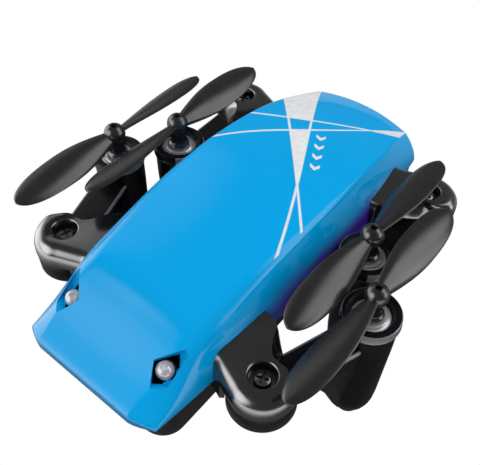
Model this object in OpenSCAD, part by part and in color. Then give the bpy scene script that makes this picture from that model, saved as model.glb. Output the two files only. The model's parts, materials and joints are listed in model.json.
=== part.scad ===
// Pocket quadcopter with four swing-out arms, drawn folded and standing on its feet.
// The nose points to -Y, +X is the aircraft's left, and Z = 0 is the floor.
// Heights inside the modules count from the top face of the arm shoulders.

/* [Body] */
// Length of the body from nose to tail
body_length = 74.8; // [74:0.1:76]
// Height of the shoulders' top face above the floor
shoulder_height = 28.4; // [28:0.1:30]
// Wall thickness of both shells
wall = 1.2; // [1:0.1:1.4]
// Depth of the lower shell under the shoulders' top face
belly_depth = 13; // [12.9:0.1:13.4]

/* [Arms] */
// Distance of each arm pivot from the centre plane
pivot_x = 20.6; // [20.5:0.1:21]
// Distance between the front and rear pivots
pivot_span = 46; // [45.8:0.1:46.4]
// Distance from an arm pivot to its motor axis
arm_length = 19; // [18.8:0.1:19.2]
// Angle that a folded front arm stands out from the body
front_fold = 19; // [18:0.5:20]
// Angle that a folded rear arm stands out from the body
rear_fold = -1; // [-1.5:0.5:0]
// Angle of an open arm, counted like the folded ones
open_angle = 119; // [118:0.5:119]

/* [Propellers] */
// Radius of a propeller
propeller_radius = 21.5; // [20:0.1:21.6]
// Widest chord of a blade
blade_chord = 5.9; // [5:0.1:6]
// Pitch of a blade at its root
root_pitch = 32; // [26:1:36]
// Pitch of a blade at its tip
tip_pitch = 13; // [10:1:18]

/* [Fits] */
// Radial clearance of the bushes, the rotors and the button
running_clearance = 0.05; // [0.03:0.01:0.08]
// Radial clearance of the screws and of the pressed parts
fixed_clearance = 0.02; // [0.01:0.01:0.03]
// Gap between the shells and the shoulders that pass through them
gap = 0.2; // [0.15:0.01:0.25]

/* [Hidden] */

left = 1;
right = -1;
front = -1;
rear = 1;
fine = 64;
coarse = 24;
eps = 0.01;
half_length = body_length / 2;
// The pivots sit a little behind the middle of the body
pivot_mid_y = 1.85;

// Lower edge of the cover, where the lower shell begins
seam_z = -5;
// Cover sections: y, half width and height of the ridge, crown above it, half width at the seam
cover_rows = [
    [-half_length, 9.2, -3.2, 0, 13.2],
    [-32.5, 9.9, -0.9, 0, 13.6],
    [-26.1, 11, 2.5, 0.1, 14.1],
    [-23.1, 11.1, 3.9, 0.3, 14.3],
    [-18.8, 11.4, 4.7, 0.6, 14.6],
    [-8, 12.2, 5.9, 1, 15],
    [1, 12.5, 6.15, 1.1, 15.1],
    [7, 12.5, 6.05, 1.1, 15.1],
    [17.1, 12.1, 5.1, 1, 14.8],
    [24.3, 11.5, 3.7, 0.9, 14.3],
    [31.8, 10.4, 1.5, 0.8, 13.6],
    [half_length, 9.8, -0.6, 0.7, 13],
];
cover_stations = 32;
crown_steps = 5;
side_steps = 4;
side_bulge = 2;
// How far the nose and tail edges bow back at the sides, and where the bow begins
nose_bow = 1.7;
tail_bow = 2.2;
bow_start = 15;
pillar_radius = 1.5;
pillar_top = 3.7;

// Lower shell
tub_top = seam_z - 0.05;
tub_corner = 4;
tub_corner_x = 9.5;
tub_front = -31.6;
tub_rear = 32.4;
// Half width where the ends have bowed back by the full amount, and that amount at the tail
tub_edge_x = 13.4;
tub_tail_bow = 1.47;
// Rounded edge of the belly: radius lost below and above, setback of the ends, height
belly_edge = [1.6, 0.4, 1.2, 1.3];
boss_radius = 2.3;
// Deep recess for the head of a body screw: radius and depth
screw_recess = [1.6, 4];
post_x = 6.4;
post_ys = [-22.5, 26.5];
post_radius = 1.3;
socket_window = [8.4, 2.9];

// Shoulder bracket, in the frame of its pivot
ear_thickness = 3.3;
ear_radius = 5.4;
ear_fillet = 1.6;
shoulder_depth = 7.6;
counterbore_radius = 2.06;
counterbore_depth = 2.2;
root_start = [-12.3, -3.5];
root_size = [5.6, 12.2];
root_depth = 7.4;
body_screw_at = [-10.4, 2.8];
web_outline = [
    [-6.2, -3.5], [-7, 1], [-6.9, 3], [-6.2, 6.5], [-5.3, 8.7],
    [-3.7, 8.5], [-1.7, 7.2], [0.3, 5.4], [0, 0], [-3, -4.5],
];
web_top_outline = [
    [-5.6, -2.6], [-6.6, 1], [-6.5, 3], [-5.9, 6.3], [-5.2, 8],
    [-3.7, 7.7], [-2.4, 5.2], [-1.4, 3.7], [0, 0], [-3, -3],
];
web_slope = 2.6;

// Hardware
screw_radius = 0.8;
screw_head_radius = 1.3;
screw_head_height = 1.1;
screw_slot = [0.4, 1.6, 0.6];
bush_radius = 1.6;
bush_flange = [3, 0.8];

// Arm
beam_width = 6;
beam_top = -3.5;
beam_bottom = -7.5;
beam_foot_width = 2.8;
knuckle_radius = 4.75;
knuckle_clearance = 0.15;
beam_clearance = 0.35;
pod_rim = [4.6, 0.6];
pod_bottom = -26;
// Hollow of the pod below the motor: radius and height above the pod's end
pod_hollow = [2.4, 3];
pod_rows = [
    [4.6, -0.8], [4.4, -1], [4.35, -6], [4.05, -20],
    [3.85, -22.6], [3.35, -24.6], [2.6, pod_bottom],
];
// Side view of the web under the beam: distance from the pivot and height
gusset = [
    [0, -7.4], [6.8, -7.5], [8.3, -8.2], [11.2, -14],
    [13.4, -20], [15.4, -24.4], [19, -24.4], [19, -7.4],
];

// Motor
motor_radius = 3;
motor_top = -0.4;
motor_bottom = -15.2;
can_wall = 0.3;
magnet_radius = 1.4;
magnet_top = -4;
// Coil cup: inner and outer radius, lower and upper end, and the underside of its closed top
coil_radius = [1.7, 2.4];
coil_heights = [-13.5, -2.5];
coil_ceiling = -3.3;
motor_cap_height = 0.5;
rotor_radius = 0.5;
foot_stud = [1.2, 1.5];
// Foot: radius and height above the floor
foot_rows = [[1, 0], [1.8, 0.5], [2.3, 1.2]];
foot_top_radius = 2.5;

// Propeller
hub_z = 4.95;
hub_radius = 1.88;
sleeve_rows = [[2.1, 0.55], [1.95, 1.1], [1.35, 2.6], [1.3, 3.7]];
blade_z = 4.7;
blade_root = 1;
blade_stations = 13;
blade_sides = 8;
blade_thickness = 0.75;
widest_at = 0.52;
// Chord at the root as a share of the widest, where the chord would reach zero, and station spacing
root_share = 0.38;
tip_end = 1.004;
tip_crowding = 1.7;

// Headlights
headlight_at = [9.47, -29, -0.8];
headlight_axis = [0.216, -0.408, 0.887];
headlight_radius = 1.4;
headlight_length = 2.8;
headlight_collar = [1.65, 0.6];
window_outer = [[8, -29.45, 1.55], [11.15, -25.6, 2.55], [12.6, -28.86, -1.9], [10.1, -32.9, -0.55]];
window_inner = [[7.44, -29.17, -0.53], [9.64, -26.61, 0.11], [11.27, -28.86, -1.32], [8.99, -31.26, -1.87]];
window_depth = 3;

// Inside the body
board_size = [16, 57, 0.8];
board_front = -25;
board_top = -4;
chip_sizes = [[6, 6, 0.9], [5, 4, 1.1], [3, 5, 0.8]];
chip_at = [[0, -10], [2, 4], [-4, 14]];
battery_size = [16, 28, 5.6];
battery_front = -14.5;
battery_lift = 0.3;
// The seal stands back at the sides and from above, and reaches forward
battery_seal = [3, 1.2, 0.6];
socket_size = [7.5, 5.4, 2.6];
socket_mouth_y = 34.9;
socket_wall = 0.35;
switch_y = 21;
switch_size = [4, 4, 1.4];
switch_plunger = [0.9, 0.3];
button_radius = 1.8;
button_collar = [2.5, 0.7];
button_guide = [3.2, 1.6];
button_top = -7;
button_out = 0.4;

function fold(end) = end == front ? front_fold : rear_fold;
function reach(angle, distance) = distance * [sin(angle), cos(angle), 0];
function column(i, c) = cover_rows[i][c];
function slope(i, c) =
    let (a = max(0, i - 1), b = min(len(cover_rows) - 1, i + 1))
    (column(b, c) - column(a, c)) / (column(b, 0) - column(a, 0));
function row_before(y, i = 0) =
    i >= len(cover_rows) - 2 || y < column(i + 1, 0) ? i : row_before(y, i + 1);
// A smooth curve through one column of the cover's sections
function section(y, c) =
    let (
        i = row_before(y),
        step = column(i + 1, 0) - column(i, 0),
        t = (y - column(i, 0)) / step
    )
    (2 * t^3 - 3 * t^2 + 1) * column(i, c) + (t^3 - 2 * t^2 + t) * step * slope(i, c)
    + (3 * t^2 - 2 * t^3) * column(i + 1, c) + (t^3 - t^2) * step * slope(i + 1, c);
function bow(y) =
    (y < 0 ? nose_bow : -tail_bow) * (max(0, abs(y) - bow_start) / (half_length - bow_start))^2;
// Half of one section from the crown to the seam, moved in by inset
function half_section(y, inset) =
    let (
        ridge_x = section(y, 1) - inset,
        ridge_z = section(y, 2) - inset,
        edge_x = section(y, 4) - inset
    )
    concat(
        [for (k = [0 : crown_steps])
            [ridge_x * k / crown_steps, ridge_z + section(y, 3) * (1 - (k / crown_steps)^2)]],
        [for (k = [1 : side_steps]) [
            ridge_x + (edge_x - ridge_x) * (1 - (1 - k / side_steps)^side_bulge),
            ridge_z + (seam_z - ridge_z) * k / side_steps,
        ]]
    );
// One full section from the left seam over the crown to the right seam
function cover_ring(y, inset, flat = false) =
    let (
        half = half_section(y, inset),
        last = len(half) - 1,
        both = concat([for (k = [last : -1 : 0]) half[k]], [for (k = [1 : last]) [-half[k].x, half[k].y]])
    )
    [for (p = both) [p.x, y + bow(y) * (p.x / section(y, 4))^2, flat ? seam_z : p.y]];
// A skin whose whole border lies on the seam: the end rows drop straight down from the nose and tail
function cover_skin(inset) =
    let (half = half_length - inset)
    concat(
        [cover_ring(-half, inset, true)],
        [for (k = [0 : cover_stations]) cover_ring(-half + 2 * half * k / cover_stations, inset)],
        [cover_ring(half, inset, true)]
    );
function flatten(rows) = [for (row = rows) for (p = row) p];
// Triangles of a grid of points, seen from the side where rows run up and columns run right
function grid_faces(rows, columns, first = 0) = [
    for (i = [0 : rows - 2]) for (k = [0 : columns - 2])
        let (a = first + i * columns + k) each [
            [a, a + 1, a + columns],
            [a + 1, a + columns + 1, a + columns],
        ]
];
function flipped(faces) = [for (f = faces) [f[2], f[1], f[0]]];
// Border of the same grid, walked once around
function grid_border(rows, columns) = concat(
    [for (k = [0 : columns - 2]) k],
    [for (i = [0 : rows - 2]) i * columns + columns - 1],
    [for (k = [columns - 1 : -1 : 1]) (rows - 1) * columns + k],
    [for (i = [rows - 1 : -1 : 1]) i * columns]
);
function blade_chord_at(t) = t < widest_at
    ? blade_chord * (root_share + (1 - root_share) * sin(90 * t / widest_at))
    : blade_chord * sqrt(max(0, 1 - ((t - widest_at) / (tip_end - widest_at))^2));
function blade_ring(k) =
    let (
        t = 1 - (1 - k / blade_stations)^tip_crowding,
        chord = blade_chord_at(t),
        thickness = min(chord, blade_thickness * (1.6 - t)),
        pitch = root_pitch + (tip_pitch - root_pitch) * t,
        y = blade_root + (propeller_radius - blade_root) * t
    )
    [for (s = [0 : blade_sides - 1])
        let (
            u = chord / 2 * cos(360 * s / blade_sides),
            w = thickness / 2 * sin(360 * s / blade_sides)
        )
        [u * cos(pitch) + w * sin(pitch), y, blade_z - u * sin(pitch) + w * cos(pitch)]];

module on_datum() {
    translate([0, 0, shoulder_height]) children();
}

module mirrored(side, end) {
    mirror([side == right ? 1 : 0, 0, 0]) mirror([0, end == rear ? 1 : 0, 0]) children();
}

// Frame of a pivot: +X points outwards and +Y along the body towards its middle
module at_pivot(side, end) {
    translate([side * pivot_x, pivot_mid_y + end * pivot_span / 2, 0]) mirrored(side, end) children();
}

module at_pivots() {
    for (side = [left, right], end = [front, rear]) at_pivot(side, end) children();
}

module at_body_screws() {
    at_pivots() translate(body_screw_at) children();
}

// Frame of a folded arm: +Y runs from the pivot to the motor
module along_arm(side, end) {
    on_datum() at_pivot(side, end) rotate(-fold(end)) children();
}

module at_motor(side, end) {
    on_datum() at_pivot(side, end) translate(reach(fold(end), arm_length)) children();
}

// A cylinder between two heights
module disc(r, low, high) {
    translate([0, 0, low]) cylinder(r = r, h = high - low, $fn = fine);
}

module cross_slot(top) {
    for (turn = [0, 90])
        rotate(turn) translate([-screw_slot.x / 2, -screw_slot.y / 2, top - screw_slot.z])
            cube([screw_slot.x, screw_slot.y, 2 * screw_slot.z]);
}

module skin_solid() {
    outer = cover_skin(0);
    inner = cover_skin(wall);
    rows = len(outer);
    columns = len(outer[0]);
    shift = rows * columns;
    border = grid_border(rows, columns);
    rim = [for (k = [0 : len(border) - 1])
        let (a = border[k], b = border[(k + 1) % len(border)]) each [
            [b, a, a + shift],
            [b, a + shift, b + shift],
        ]];
    polyhedron(
        points = concat(flatten(outer), flatten(inner)),
        faces = concat(grid_faces(rows, columns), flipped(grid_faces(rows, columns, shift)), rim)
    );
}

module quad_hull(a, b) {
    hull() polyhedron(
        points = concat(a, b),
        faces = [
            [0, 1, 2, 3], [7, 6, 5, 4], [0, 4, 5, 1],
            [1, 5, 6, 2], [2, 6, 7, 3], [3, 7, 4, 0],
        ]
    );
}

module headlight_window() {
    quad_hull(window_outer, window_inner);
    quad_hull(window_inner, [for (p = window_inner) p - window_depth * headlight_axis]);
}

module shoulder_notch(low, high) {
    at_pivots() translate([root_start.x + 1.8, root_start.y - gap, low])
        cube([6, root_size.y + 2 * gap, high - low]);
}

// Upper shell with the sloping nose, four openings for the shoulders and two for the headlights
module top_cover() {
    color([0, 0.65, 0.91]) on_datum() difference() {
        union() {
            difference() {
                skin_solid();
                shoulder_notch(seam_z - 1, gap);
                headlight_window();
                mirror([1, 0, 0]) headlight_window();
            }
            at_body_screws() disc(pillar_radius, 0, pillar_top);
        }
        at_body_screws() disc(screw_radius, -1, pillar_top - 0.9);
    }
}

module tub(inset, top) {
    hull() for (x = [-1, -0.5, 0, 0.5, 1] * tub_corner_x, end = [front, rear]) {
        bow_share = (x / tub_edge_x)^2;
        y = end == front ? tub_front + nose_bow * bow_share : tub_rear - tub_tail_bow * bow_share;
        radius = tub_corner - inset;
        translate([x, y, seam_z - 1])
            cylinder(r = radius, h = top - seam_z + 1, $fn = coarse);
        translate([x, y - end * belly_edge[2], -belly_depth + inset])
            cylinder(
                r1 = radius - belly_edge[0],
                r2 = radius - belly_edge[1],
                h = belly_edge[3],
                $fn = coarse
            );
    }
}

// Lower shell with screw bosses, board posts, the button guide and the charging window
module bottom_shell() {
    floor_mid = -belly_depth + wall / 2;
    color([0.05, 0.05, 0.055]) on_datum() difference() {
        union() {
            difference() {
                tub(0, tub_top);
                tub(wall, tub_top + 1);
                shoulder_notch(-root_depth - gap, tub_top + 1);
            }
            at_body_screws() disc(boss_radius, floor_mid, -root_depth);
            for (x = [-1, 1] * post_x, y = post_ys)
                translate([x, y, 0]) disc(post_radius, floor_mid, board_top - board_size.z);
            translate([0, switch_y, 0]) disc(button_guide[0], floor_mid, floor_mid + button_guide[1]);
        }
        at_body_screws() {
            disc(screw_recess[0], -belly_depth - 1, -belly_depth + screw_recess[1]);
            disc(screw_radius + fixed_clearance, -belly_depth, 0);
        }
        translate([0, switch_y, 0]) disc(button_radius + running_clearance, -belly_depth - 1, button_top);
        translate([-socket_window.x / 2, tub_rear, tub_top - socket_window.y])
            cube([socket_window.x, 6, socket_window.y + 1]);
    }
}

// Four screws that clamp the lower shell, the shoulders and the cover together
module body_screws() {
    head_top = -belly_depth + screw_recess[1];
    head_bottom = head_top - screw_head_height;
    color("silver") on_datum() at_body_screws() difference() {
        union() {
            disc(screw_head_radius, head_bottom, head_top);
            disc(screw_radius - fixed_clearance, head_top - eps, pillar_top - 1.2);
        }
        mirror([0, 0, 1]) cross_slot(-head_bottom);
    }
}

module circuit_board() {
    color([0.05, 0.3, 0.15]) on_datum() {
        translate([-board_size.x / 2, board_front, board_top - board_size.z]) cube(board_size);
        for (k = [0 : len(chip_sizes) - 1])
            translate([chip_at[k].x - chip_sizes[k].x / 2, chip_at[k].y, board_top - eps])
                cube(chip_sizes[k]);
    }
}

// Flat pouch cell with the folded seal at its front end
module battery() {
    seal = [
        battery_size.x - 2 * battery_seal.x,
        battery_seal.y + eps,
        battery_size.z - 2 * battery_seal.z,
    ];
    color([0.75, 0.76, 0.78]) on_datum()
        translate([-battery_size.x / 2, battery_front, -belly_depth + wall + battery_lift]) {
            cube(battery_size);
            translate([battery_seal.x, -battery_seal.y, battery_seal.z]) cube(seal);
        }
}

// Charging socket under the tail end of the board, with its mouth to the rear
module charging_socket() {
    corner = [
        -socket_size.x / 2,
        socket_mouth_y - socket_size.y,
        board_top - board_size.z - socket_size.z,
    ];
    mouth = [socket_size.x - 2 * socket_wall, socket_size.y, socket_size.z - 2 * socket_wall];
    color("silver") on_datum() translate(corner) difference() {
        cube(socket_size);
        translate([socket_wall, 4 * socket_wall, socket_wall]) cube(mouth);
    }
}

module power_switch() {
    color("silver") on_datum() translate([0, switch_y, board_top - board_size.z]) {
        translate([-switch_size.x / 2, -switch_size.y / 2, -switch_size.z]) cube(switch_size);
        disc(switch_plunger[0], -switch_size.z - switch_plunger[1], eps - switch_size.z);
    }
}

// Push button in the floor of the lower shell, with a collar that keeps it in
module power_button() {
    collar_bottom = -belly_depth + wall / 2 + button_guide[1] + running_clearance;
    color([0.12, 0.12, 0.13]) on_datum() translate([0, switch_y, 0]) {
        disc(button_radius, -belly_depth - button_out, button_top);
        disc(button_collar[0], collar_bottom, collar_bottom + button_collar[1]);
    }
}

// Lamp with a domed end, seated along its own tilted axis
module headlight(side) {
    tilt = acos(headlight_axis.z / norm(headlight_axis));
    color([0.8, 0.8, 0.82]) on_datum() mirror([side == right ? 1 : 0, 0, 0])
        translate(headlight_at) rotate([0, tilt, atan2(headlight_axis.y, headlight_axis.x)]) {
            sphere(r = headlight_radius, $fn = fine);
            disc(headlight_radius, -headlight_length, 0);
            disc(headlight_collar[0], -headlight_length - headlight_collar[1], eps - headlight_length);
        }
}

module pivot_screws() {
    head_top = -counterbore_depth + screw_head_height;
    color("dimgray") on_datum() at_pivots() {
        difference() {
            disc(screw_head_radius, -counterbore_depth, head_top);
            cross_slot(head_top);
        }
        disc(screw_radius, -shoulder_depth, -counterbore_depth + eps);
    }
}

// Flanged bushes that the arms turn on, clamped under the shoulders by the pivot screws
module pivot_bushes() {
    flange_top = beam_bottom - 0.1;
    color("goldenrod") on_datum() at_pivots() difference() {
        union() {
            disc(bush_radius, flange_top - eps, -ear_thickness);
            disc(bush_flange[0], flange_top - bush_flange[1], flange_top);
        }
        disc(screw_radius + fixed_clearance, flange_top - 2, 0);
    }
}

// Room below the ear for the arm's swing from folded to open
module swing_room(end) {
    half = beam_width / 2 + beam_clearance;
    size = 4 * ear_radius;
    disc(knuckle_radius + knuckle_clearance, -shoulder_depth - 1, -ear_thickness);
    translate([0, 0, -shoulder_depth - 1]) linear_extrude(shoulder_depth + 1 - ear_thickness) {
        rotate(-fold(end)) translate([-half, 0]) square(size);
        rotate(-open_angle) translate([half - size, 0]) square(size);
    }
}

module ear() {
    mirror([0, 0, 1]) rotate_extrude($fn = fine) {
        translate([0, ear_fillet]) square([ear_radius, shoulder_depth - ear_fillet]);
        square([ear_radius - ear_fillet, shoulder_depth]);
        translate([ear_radius - ear_fillet, ear_fillet]) circle(r = ear_fillet, $fn = fine);
    }
}

// Bracket with a round ear over the pivot, a web along the body and a root that goes into it
module shoulder(side, end) {
    color([0.06, 0.06, 0.065]) on_datum() at_pivot(side, end) difference() {
        union() {
            ear();
            translate([0, 0, -shoulder_depth])
                linear_extrude(shoulder_depth - web_slope) polygon(web_outline);
            hull() {
                translate([0, 0, -web_slope - eps]) linear_extrude(eps) polygon(web_outline);
                translate([0, 0, -eps]) linear_extrude(eps) polygon(web_top_outline);
            }
            translate([root_start.x, root_start.y, -root_depth])
                cube([root_size.x, root_size.y, root_depth]);
        }
        swing_room(end);
        disc(counterbore_radius, -counterbore_depth, 1);
        disc(screw_radius + fixed_clearance, -shoulder_depth, 0);
        translate(body_screw_at) disc(screw_radius + fixed_clearance, -shoulder_depth - 1, 1);
    }
}

module pod_outside() {
    rotate_extrude($fn = fine) polygon(concat(
        [[0, pod_bottom], [0, pod_rim[1]], pod_rim],
        pod_rows
    ));
}

// Web under the beam, narrower towards its foot
module gusset_web() {
    wide = beam_width / 2;
    narrow = beam_foot_width / 2;
    intersection() {
        rotate([90, 0, 90]) translate([0, 0, -wide]) linear_extrude(beam_width) polygon(gusset);
        rotate([90, 0, 0]) translate([0, 0, -arm_length]) linear_extrude(arm_length) polygon([
            [-wide, beam_bottom + 1], [wide, beam_bottom + 1],
            [narrow, pod_bottom], [-narrow, pod_bottom],
        ]);
    }
}

// Arm with a knuckle at the pivot, a beam, a web under it and the motor pod at its end
module arm(side, end) {
    color([0.05, 0.05, 0.055]) along_arm(side, end) difference() {
        union() {
            disc(knuckle_radius, beam_bottom, beam_top);
            translate([-beam_width / 2, 0, beam_bottom])
                cube([beam_width, arm_length, beam_top - beam_bottom]);
            gusset_web();
            translate([0, arm_length, 0]) pod_outside();
        }
        disc(bush_radius + running_clearance, beam_bottom - 1, 0);
        translate([0, arm_length, 0]) {
            disc(motor_radius + fixed_clearance, motor_bottom, 1);
            disc(pod_hollow[0], pod_bottom + pod_hollow[1], motor_bottom + eps);
            disc(foot_stud[0] + fixed_clearance, pod_bottom - 1, pod_bottom + foot_stud[1] + 0.3);
        }
    }
}

// Motor can with the fixed magnet standing on its floor
module motor(side, end) {
    color([0.72, 0.73, 0.75]) at_motor(side, end) difference() {
        disc(motor_radius, motor_bottom, motor_top);
        difference() {
            disc(motor_radius - can_wall, motor_bottom + can_wall, motor_top + 1);
            disc(magnet_radius, motor_bottom, magnet_top);
        }
        disc(rotor_radius + running_clearance, motor_bottom - 1, 0);
    }
}

// End cap that closes the can and carries the upper bearing
module motor_cap(side, end) {
    color([0.8, 0.81, 0.83]) at_motor(side, end) difference() {
        union() {
            disc(motor_radius, motor_top, motor_top + motor_cap_height);
            disc(motor_radius - can_wall - fixed_clearance, motor_top - 1, motor_top + eps);
        }
        disc(rotor_radius + running_clearance, motor_top - 2, 1);
    }
}

// Motor shaft with the coil cup that runs around the magnet
module rotor(side, end) {
    color([0.75, 0.45, 0.25]) at_motor(side, end) {
        disc(rotor_radius, motor_bottom, hub_z + 1);
        difference() {
            disc(coil_radius[1], coil_heights[0], coil_heights[1]);
            disc(coil_radius[0], coil_heights[0] - 1, coil_ceiling);
        }
    }
}

module blade() {
    rings = [for (k = [0 : blade_stations - 1]) blade_ring(k)];
    count = blade_sides;
    last = blade_stations - 1;
    polyhedron(
        points = flatten(rings),
        faces = concat(
            [for (i = [0 : last - 1]) for (s = [0 : count - 1])
                let (a = i * count + s, b = i * count + (s + 1) % count) each [
                    [a, b, a + count],
                    [b, b + count, a + count],
                ]],
            [[for (s = [count - 1 : -1 : 0]) s]],
            [[for (s = [0 : count - 1]) last * count + s]]
        )
    );
}

// Two-blade propeller; mirrored places turn it into the opposite hand
module propeller(side, end) {
    color([0.1, 0.1, 0.11]) at_motor(side, end) difference() {
        union() {
            rotate_extrude($fn = fine)
                polygon(concat([[0, hub_z], [0, sleeve_rows[0][1]]], sleeve_rows, [[1.3, hub_z]]));
            translate([0, 0, hub_z]) sphere(r = hub_radius, $fn = fine);
            blade();
            rotate(180) blade();
        }
        disc(rotor_radius + fixed_clearance, 0, hub_z + 4);
    }
}

// Foot with a flat tread, pressed into the lower end of a pod
module foot(side, end) {
    tread = -shoulder_height;
    color([0.08, 0.08, 0.085]) at_motor(side, end) {
        rotate_extrude($fn = fine) polygon(concat(
            [[0, tread]],
            [for (p = foot_rows) [p[0], tread + p[1]]],
            [[foot_top_radius, pod_bottom], [0, pod_bottom]]
        ));
        disc(foot_stud[0], pod_bottom - eps, pod_bottom + foot_stud[1]);
    }
}

top_cover();
bottom_shell();
body_screws();
circuit_board();
battery();
charging_socket();
power_switch();
power_button();
headlight(left);  // headlight_left
headlight(right);  // headlight_right
pivot_screws();
pivot_bushes();
shoulder(left, front);  // shoulder_front_left
shoulder(right, front);  // shoulder_front_right
shoulder(left, rear);  // shoulder_rear_left
shoulder(right, rear);  // shoulder_rear_right
arm(left, front);  // arm_front_left
arm(right, front);  // arm_front_right
arm(left, rear);  // arm_rear_left
arm(right, rear);  // arm_rear_right
motor(left, front);  // motor_front_left
motor(right, front);  // motor_front_right
motor(left, rear);  // motor_rear_left
motor(right, rear);  // motor_rear_right
motor_cap(left, front);  // motor_cap_front_left
motor_cap(right, front);  // motor_cap_front_right
motor_cap(left, rear);  // motor_cap_rear_left
motor_cap(right, rear);  // motor_cap_rear_right
rotor(left, front);  // rotor_front_left
rotor(right, front);  // rotor_front_right
rotor(left, rear);  // rotor_rear_left
rotor(right, rear);  // rotor_rear_right
propeller(left, front);  // propeller_front_left
propeller(right, front);  // propeller_front_right
propeller(left, rear);  // propeller_rear_left
propeller(right, rear);  // propeller_rear_right
foot(left, front);  // foot_front_left
foot(right, front);  // foot_front_right
foot(left, rear);  // foot_rear_left
foot(right, rear);  // foot_rear_right
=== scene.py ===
import json
import math

import bmesh
import bpy
import numpy as np
from mathutils import Matrix, Vector


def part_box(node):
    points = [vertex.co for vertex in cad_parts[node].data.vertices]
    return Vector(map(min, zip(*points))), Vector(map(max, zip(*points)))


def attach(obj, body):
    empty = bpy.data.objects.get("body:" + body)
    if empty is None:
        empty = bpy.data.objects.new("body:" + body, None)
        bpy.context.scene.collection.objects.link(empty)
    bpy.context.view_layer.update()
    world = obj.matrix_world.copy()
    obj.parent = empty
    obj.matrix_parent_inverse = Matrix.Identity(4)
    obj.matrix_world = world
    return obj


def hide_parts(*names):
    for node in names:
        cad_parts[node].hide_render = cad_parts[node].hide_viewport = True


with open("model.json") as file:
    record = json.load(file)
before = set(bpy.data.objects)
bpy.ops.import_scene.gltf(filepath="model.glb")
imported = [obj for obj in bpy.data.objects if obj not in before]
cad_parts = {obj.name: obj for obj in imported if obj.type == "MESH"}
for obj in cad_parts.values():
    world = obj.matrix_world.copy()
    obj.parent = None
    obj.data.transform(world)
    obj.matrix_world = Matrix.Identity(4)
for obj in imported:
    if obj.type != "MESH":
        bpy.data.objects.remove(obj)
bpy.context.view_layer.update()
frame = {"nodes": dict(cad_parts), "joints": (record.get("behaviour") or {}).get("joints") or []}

# ---------------------------------------------------------------- the shared frame, in millimetres
MM = 1000.0
SIDES = {"left": 1, "right": -1}
ENDS = {"front": -1, "rear": 1}
PLACES = [(end, side) for end in ENDS for side in SIDES]


def joint(name):
    return next(j for j in frame["joints"] if j["name"] == name)


def joint_place(name):
    at = joint(name)
    at = at.get("pos_m") or at.get("pos")
    return Vector([v * MM for v in at])


def tag(end, side):
    return f"{end}_{side}"


SHOULDER_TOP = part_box("shoulder_front_left")[1][2] * MM
PIVOT = {tag(e, s): joint_place(f"arm_{e}_{s}_swing") for e, s in PLACES}
MOTOR = {tag(e, s): joint_place(f"propeller_{e}_{s}_spin") for e, s in PLACES}
HALF_LENGTH = (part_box("top_cover")[1][1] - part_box("top_cover")[0][1]) / 2 * MM
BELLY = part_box("bottom_shell")[0][2] * MM - SHOULDER_TOP
FLOOR = -SHOULDER_TOP
SEAM = -5.0
DATUM = Matrix.Translation((0, 0, SHOULDER_TOP))


def mirrored(end, side):
    return Matrix.Diagonal((SIDES[side], -ENDS[end], 1, 1))


def at_pivot(end, side):
    p = PIVOT[tag(end, side)]
    return Matrix.Translation((p.x, p.y, SHOULDER_TOP)) @ mirrored(end, side)


def at_motor(end, side):
    p = MOTOR[tag(end, side)]
    return Matrix.Translation((p.x, p.y, SHOULDER_TOP)) @ mirrored(end, side)


def along_arm(end, side):
    p, m = PIVOT[tag(end, side)], MOTOR[tag(end, side)]
    out = (m.x - p.x) * SIDES[side]
    along = (m.y - p.y) * -ENDS[end]
    return at_pivot(end, side) @ Matrix.Rotation(-math.atan2(out, along), 4, "Z")


ARM_LENGTH = (MOTOR["front_left"].xy - PIVOT["front_left"].xy).length

# ---------------------------------------------------------------- meshes


def rings_mesh(rings, cap_first=True, cap_last=True):
    """Quads between rings of equal length, closed by one flat face at either end."""
    count = len(rings[0])
    verts = [tuple(p) for ring in rings for p in ring]
    faces = []
    for i in range(len(rings) - 1):
        for k in range(count):
            a, b = i * count + k, i * count + (k + 1) % count
            faces.append((a, b, b + count, a + count))
    if cap_first:
        faces.append(tuple(range(count - 1, -1, -1)))
    if cap_last:
        faces.append(tuple((len(rings) - 1) * count + k for k in range(count)))
    return verts, faces


def lathe(rows, steps=64):
    """Solid of revolution about Z. The first and last rows lie on the axis."""
    inner = rows[1:-1]
    rings = [
        [(r * math.cos(2 * math.pi * k / steps), r * math.sin(2 * math.pi * k / steps), z)
         for k in range(steps)] for r, z in inner]
    verts, faces = rings_mesh(rings, False, False)
    first, last = len(verts), len(verts) + 1
    verts += [(0, 0, rows[0][1]), (0, 0, rows[-1][1])]
    end = (len(rings) - 1) * steps
    for k in range(steps):
        faces.append((first, (k + 1) % steps, k))
        faces.append((last, end + k, end + (k + 1) % steps))
    return verts, faces


def to_object(name, mesh_data, materials=()):
    mesh = bpy.data.meshes.new(name)
    mesh.from_pydata([tuple(v) for v in mesh_data[0]], [], mesh_data[1])
    mesh.update()
    obj = bpy.data.objects.new(name, mesh)
    bpy.context.scene.collection.objects.link(obj)
    for m in materials:
        mesh.materials.append(m)
    tidy_mesh(obj)
    return obj


def tidy_mesh(obj):
    bm = bmesh.new()
    bm.from_mesh(obj.data)
    bmesh.ops.remove_doubles(bm, verts=bm.verts, dist=1e-4)
    bmesh.ops.recalc_face_normals(bm, faces=bm.faces)
    bm.to_mesh(obj.data)
    bm.free()


def combine(obj, others, operation):
    """Boolean with each of the others, which are used up."""
    for other in others:
        mod = obj.modifiers.new("b", "BOOLEAN")
        mod.operation = operation
        mod.solver = "MANIFOLD"
        mod.object = other
    deps = bpy.context.evaluated_depsgraph_get()
    mesh = bpy.data.meshes.new_from_object(obj.evaluated_get(deps), depsgraph=deps)
    if len(mesh.polygons) == 0:
        raise RuntimeError("empty boolean: " + obj.name)
    obj.modifiers.clear()
    obj.data = mesh
    for other in others:
        bpy.data.objects.remove(other)
    return obj


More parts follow.
